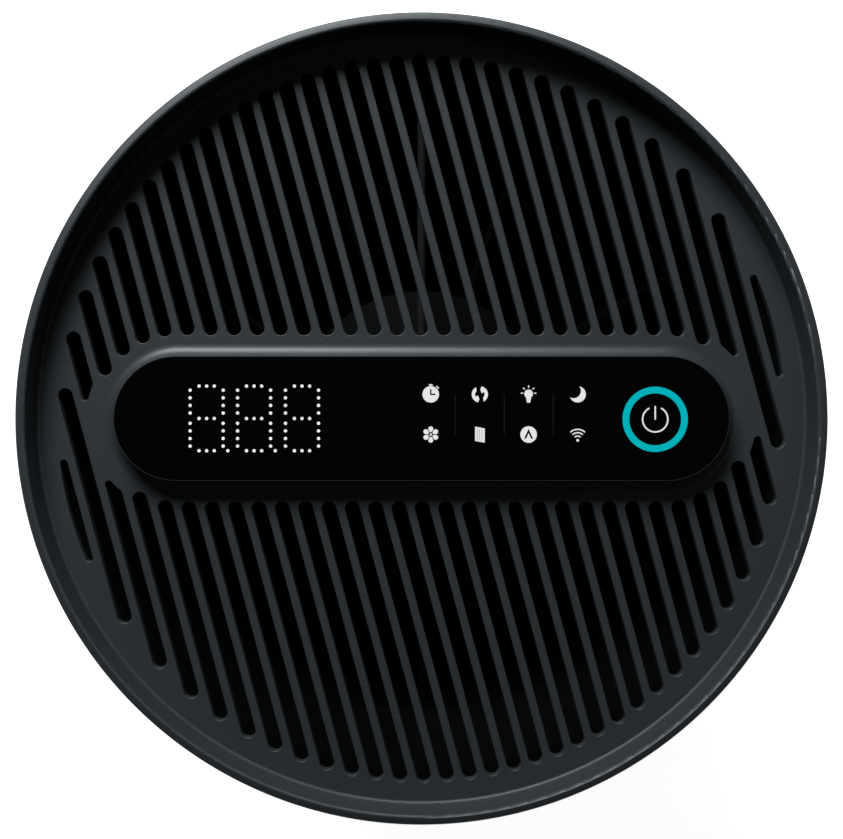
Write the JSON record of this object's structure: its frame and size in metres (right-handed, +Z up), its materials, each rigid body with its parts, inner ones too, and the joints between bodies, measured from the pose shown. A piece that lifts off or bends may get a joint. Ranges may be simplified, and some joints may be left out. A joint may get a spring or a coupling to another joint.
{
  "type": "air purifier",
  "caption": "Round tower air purifier: slotted intake shell over a cartridge filter, fan, and a dished top with an outlet grille and a pill-shaped touch panel.",
  "frame": {"origin": "centre of the purifier on the surface it stands on", "axes": "+Z up along the tower, -Y towards the front of the control panel, +X to the right seen from the front"},
  "size_m": [0.245, 0.245, 0.38],
  "materials": {
    "charcoal": "fine matte texture",
    "charcoal_satin": "satin",
    "black_glass": "polished black",
    "lit_white": "back-lit print",
    "lit_teal": "back-lit print",
    "faint_print": "dark print",
    "inner_black": "matte",
    "inner_grey": "matte",
    "fan_black": "satin",
    "clear_plastic": "frosted",
    "soft_rubber": "matte",
    "steel": "zinc plated",
    "motor_steel": "plated sheet",
    "magnet": "coated",
    "copper_wire": "enamelled wire",
    "circuit_green": "solder mask",
    "part_black": "moulded",
    "filter_paper": "pleated",
    "carbon": "granular",
    "net": "fine mesh",
    "webbing": "woven",
    "cable_black": "smooth"
  },
  "bodies": {
    "housing": {"base_ring": "charcoal", "intake_shell": "charcoal", "upper_shell": "charcoal", "top_rim": "charcoal_satin", "outlet_grille": "charcoal", "panel_bezel": "charcoal_satin", "rubber_feet": "soft_rubber", "base_screws": "steel", "sensor_door_pin": "steel", "panel_glass": "black_glass", "panel_tray": "inner_black", "panel_screws": "steel", "control_board": "circuit_green", "display_module": "part_black", "key_light_guide": "clear_plastic", "touch_springs": "steel", "ring_light_guide": "clear_plastic", "display_dots": "lit_white", "key_symbols": "lit_white", "power_ring": "lit_teal", "power_symbol": "lit_white", "panel_dividers": "faint_print", "fan_deck": "inner_black", "deck_screws": "steel", "inlet_ring": "inner_black", "fan_housing": "inner_black", "diffuser": "inner_black", "hub_cap": "inner_black", "motor_isolators": "soft_rubber", "motor_screws": "steel", "motor_can": "motor_steel", "motor_end_cap": "motor_steel", "motor_bearings": "steel", "stator_core": "motor_steel", "stator_coils": "copper_wire", "filter_bottom_cap": "inner_grey", "filter_top_cap": "inner_grey", "filter_seal": "soft_rubber", "filter_media": "filter_paper", "carbon_core": "carbon", "prefilter_net": "net", "pull_tab": "webbing", "power_inlet": "part_black", "inlet_pin": "steel", "inlet_cable": "cable_black", "main_board": "circuit_green", "board_parts": "part_black", "display_cable": "cable_black", "motor_cable": "cable_black", "dust_sensor": "inner_grey", "sensor_cable": "cable_black"},
    "fan": {"impeller": "fan_black", "impeller_nut": "steel", "motor_shaft": "steel", "rotor_magnet": "magnet"},
    "cover": {"base_cover": "charcoal"},
    "door": {"sensor_door": "charcoal"}
  },
  "joints": [
    {"name": "fan_spin", "type": "hinge", "parent": "housing", "child": "fan", "pos_m": [0, 0, 0.3], "axis": [0, 0, 1], "continuous": true},
    {"name": "cover_twist", "type": "hinge", "parent": "housing", "child": "cover", "pos_m": [0, 0, 0.01], "axis": [0, 0, -1], "range_deg": [0, 20]},
    {"name": "sensor_door_hinge", "type": "hinge", "parent": "housing", "child": "door", "pos_m": [0.11791, -0.02228, 0.29], "axis": [0, 0, -1], "range_deg": [0, 95]}
  ]
}
